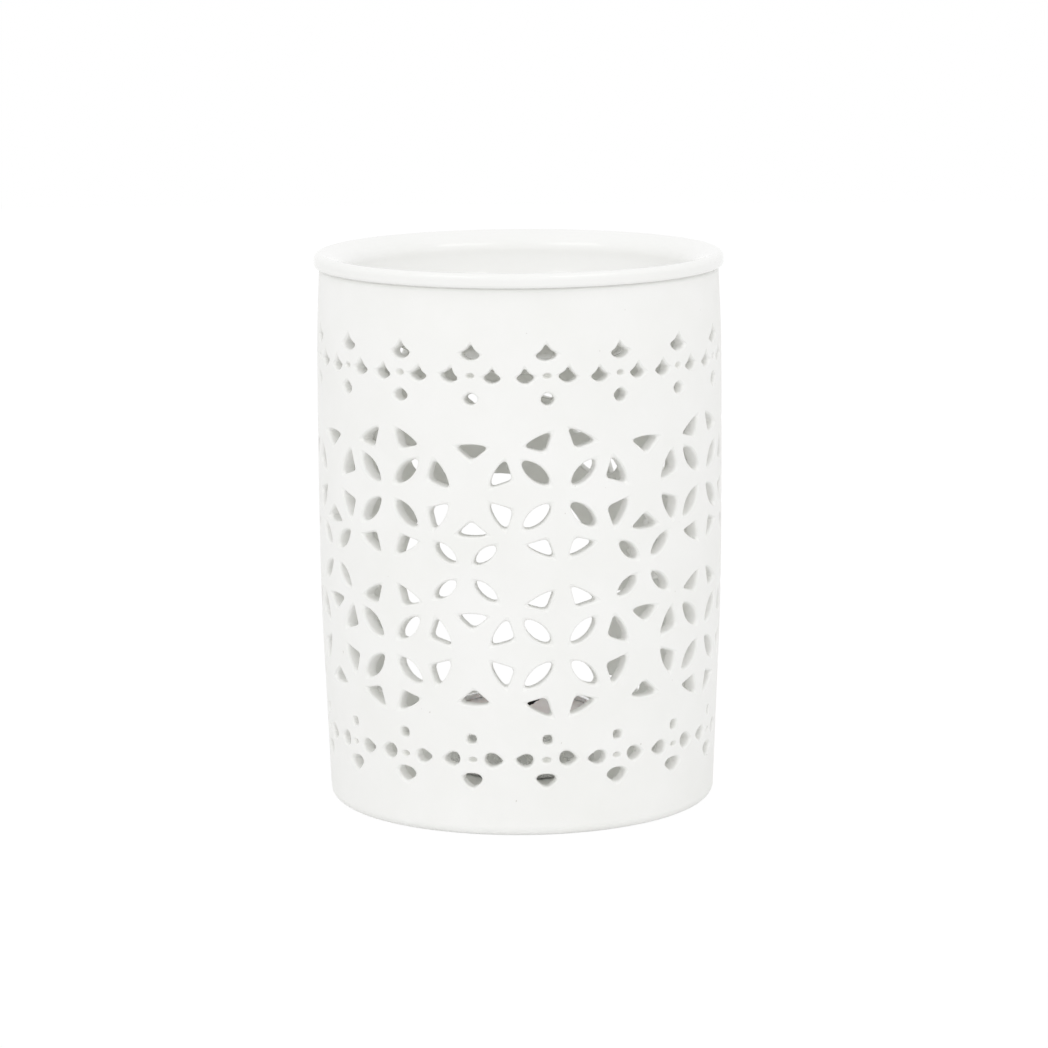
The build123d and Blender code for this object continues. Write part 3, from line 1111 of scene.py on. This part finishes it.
def foil_material():
    """Thin drawn aluminium with a fine texture and small dents."""
    material, tree, shader = new_material("drawn_foil")
    colour_by_noise(tree, shader, 350, 3, (0.88, 0.88, 0.88), (0.80, 0.80, 0.81))
    gloss_by_noise(tree, shader, 900, 2, 0.22, 0.36)
    dents = bump(tree, noise(tree, 240, 2), 0.12 * MM, 0.5)
    tree.links.new(bump(tree, noise(tree, 3000, 2), 0.01 * MM, 0.5, dents), shader.inputs["Normal"])
    fill(shader, {"Metallic": 1.0})
    return material


def wax_material():
    """Scented wax that has been lit before: cloudy, with a faint mauve tint."""
    material, tree, shader = new_material("cloudy_wax")
    colour_by_noise(tree, shader, 160, 4, (0.90, 0.84, 0.84), (0.84, 0.77, 0.765))
    gloss_by_noise(tree, shader, 400, 2, 0.38, 0.52)
    tree.links.new(bump(tree, noise(tree, 500, 3), 0.05 * MM, 0.4), shader.inputs["Normal"])
    fill(shader, {"Subsurface Weight": 0.25, "Subsurface Scale": 1.0})
    fill(shader, {"Subsurface Radius": (2 * MM, 1.4 * MM, 1.2 * MM)})
    return material


def char_material():
    """Charred cotton, black with a little ash."""
    material, tree, shader = new_material("charred_braid")
    colour_by_noise(tree, shader, 1500, 3, (0.012, 0.011, 0.010), (0.06, 0.055, 0.05), 0.5, 0.75)
    tree.links.new(bump(tree, noise(tree, 2500, 3), 0.15 * MM, 0.8), shader.inputs["Normal"])
    fill(shader, {"Roughness": 0.9})
    return material


def tinplate_material():
    """Pressed tinplate of the wick's foot."""
    material, tree, shader = new_material("pressed_tinplate")
    colour_by_noise(tree, shader, 500, 3, (0.62, 0.62, 0.62), (0.5, 0.5, 0.51))
    gloss_by_noise(tree, shader, 1200, 2, 0.3, 0.45)
    fill(shader, {"Metallic": 1.0})
    return material


# Studio: broad soft panels on four sides, and two lamps overhead that alone are mirrored in the glaze
floor_size = 3.0
floor_white = (0.86, 0.86, 0.86)
floor_lift = 0.94
floor_glow = 1.02
world_strength = 0.87
aim = Vector((0, 0, 0.08))
chamber_bounces = 10
lamps = (
    ("streak_left", (-0.78, -0.62, 1.55), (0.95, 0.55), 2.1),
    ("streak_right", (0.78, -0.62, 1.55), (0.95, 0.55), 2.1),
    ("panel_front", (0, -2.4, 0.9), (1.6, 1.2), 7.2),
    ("panel_left", (-2.2, 0, 0.8), (1.4, 1.4), 2.0),
    ("panel_right", (2.2, 0, 0.8), (1.4, 1.4), 1.2),
    ("panel_back", (0, 2.4, 0.9), (1.6, 1.2), 2.0),
)


def seen_directly(tree):
    """1 for rays from the camera, reflections and glass, and 0 for the light that falls on things."""
    path = tree.nodes.new("ShaderNodeLightPath")
    total = path.outputs["Is Camera Ray"]
    for name in ("Is Glossy Ray", "Is Transmission Ray"):
        node = tree.nodes.new("ShaderNodeMath")
        node.operation = "MAXIMUM"
        tree.links.new(total, node.inputs[0])
        tree.links.new(path.outputs[name], node.inputs[1])
        total = node.outputs[0]
    return total


def add_floor():
    """A pale floor that looks white where it is seen and keeps a trace of the shadows on it."""
    mesh = bpy.data.meshes.new("floor")
    half = floor_size / 2
    corners = [(-half, -half, 0), (half, -half, 0), (half, half, 0), (-half, half, 0)]
    mesh.from_pydata(corners, [], [(0, 1, 2, 3)])
    floor = bpy.data.objects.new("floor", mesh)
    bpy.context.scene.collection.objects.link(floor)
    material, tree, shader = new_material("pale_floor")
    fill(shader, {"Base Color": (*floor_white, 1), "Roughness": 0.9})
    glow = tree.nodes.new("ShaderNodeEmission")
    fill(glow, {"Strength": floor_glow})
    mix = tree.nodes.new("ShaderNodeMixShader")
    part = tree.nodes.new("ShaderNodeMath")
    part.operation = "MULTIPLY"
    part.inputs[1].default_value = floor_lift
    tree.links.new(seen_directly(tree), part.inputs[0])
    tree.links.new(part.outputs[0], mix.inputs["Fac"])
    tree.links.new(shader.outputs[0], mix.inputs[1])
    tree.links.new(glow.outputs[0], mix.inputs[2])
    output = next(n for n in tree.nodes if n.type == "OUTPUT_MATERIAL")
    tree.links.new(mix.outputs[0], output.inputs["Surface"])
    mesh.materials.append(material)


def add_world():
    """A white surround, seen at full white and a little dimmer as a light."""
    world = bpy.data.worlds.new("studio")
    bpy.context.scene.world = world
    world.use_nodes = True
    tree = world.node_tree
    background = tree.nodes["Background"]
    fill(background, {"Color": (1, 1, 1, 1)})
    strength = spread(tree, seen_directly(tree), 0, 1, world_strength, 1.0)
    tree.links.new(strength, background.inputs["Strength"])


def add_lamps():
    for name, place, size, power in lamps:
        data = bpy.data.lights.new(name, "AREA")
        data.shape = "RECTANGLE"
        data.size, data.size_y = size
        data.energy = power
        lamp = bpy.data.objects.new(name, data)
        bpy.context.scene.collection.objects.link(lamp)
        lamp.location = place
        lamp.rotation_euler = (aim - Vector(place)).to_track_quat("-Z", "Y").to_euler()
        lamp.visible_camera = False
        lamp.visible_glossy = name.startswith("streak")


add_camera()
make_body(
    bisque_material("white_bisque", (0.90, 0.90, 0.885), (0.875, 0.876, 0.855), 0.62),
    # The inner face takes a lighter copy of the bisque colour: painted light that lifts the shade inside the
    # chamber, in place of light coming through the thin wall.
    bisque_material("bisque_inside_painted_light", (0.945, 0.948, 0.928), (0.935, 0.938, 0.915), 0.66),
)
make_dish(glaze_material())
make_cup(foil_material())
make_wax(wax_material())
make_wick(char_material())
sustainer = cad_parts["wick_sustainer"]
sustainer.data.materials.clear()
sustainer.data.materials.append(tinplate_material())
add_floor()
add_world()
add_lamps()

scene = bpy.context.scene
scene.view_settings.view_transform = "Standard"
scene.cycles.diffuse_bounces = chamber_bounces
